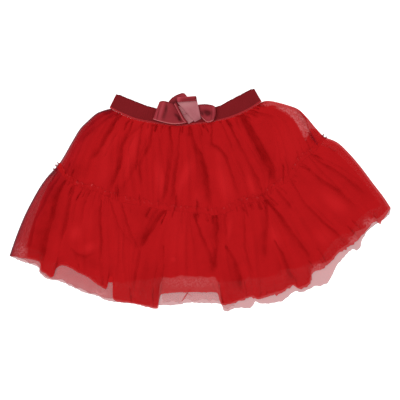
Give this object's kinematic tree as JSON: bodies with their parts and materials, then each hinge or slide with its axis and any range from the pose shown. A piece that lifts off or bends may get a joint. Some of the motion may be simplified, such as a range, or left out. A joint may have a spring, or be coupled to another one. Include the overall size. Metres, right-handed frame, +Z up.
{
  "type": "tulle skirt",
  "caption": "Child's gathered tulle skirt laid flat: elastic waistband, ribbon bow, gathered upper tier, ruffle tier with frilled seam, lining inside.",
  "frame": {"origin": "on the table, under the middle of the skirt's box", "axes": "+Z up off the table, out of the front of the skirt; +Y from the hem to the waistband; +X to the right of the front as seen"},
  "size_m": [0.627, 0.367, 0.0218],
  "materials": {
    "tulle": "sheer red net with a slight sheen",
    "lining": "opaque matt red woven lining",
    "elastic": "matt dark red ribbed elastic",
    "velvet": "rose red velvet ribbon face",
    "ribbon_reverse": "pale dusty rose ribbon back"
  },
  "bodies": {
    "root": {"waistband": "elastic", "upper_back": "tulle", "ruffle_back": "tulle", "lining_back": "lining", "lining_front": "lining", "upper_front": "tulle", "ruffle_front": "tulle", "seam_frill": "tulle", "bow_loop_left": "velvet", "bow_loop_top": "velvet", "bow_fold_centre": "ribbon_reverse", "bow_tail_narrow": "ribbon_reverse", "bow_crease": "velvet", "bow_loop_right": "velvet"}
  },
  "joints": []
}
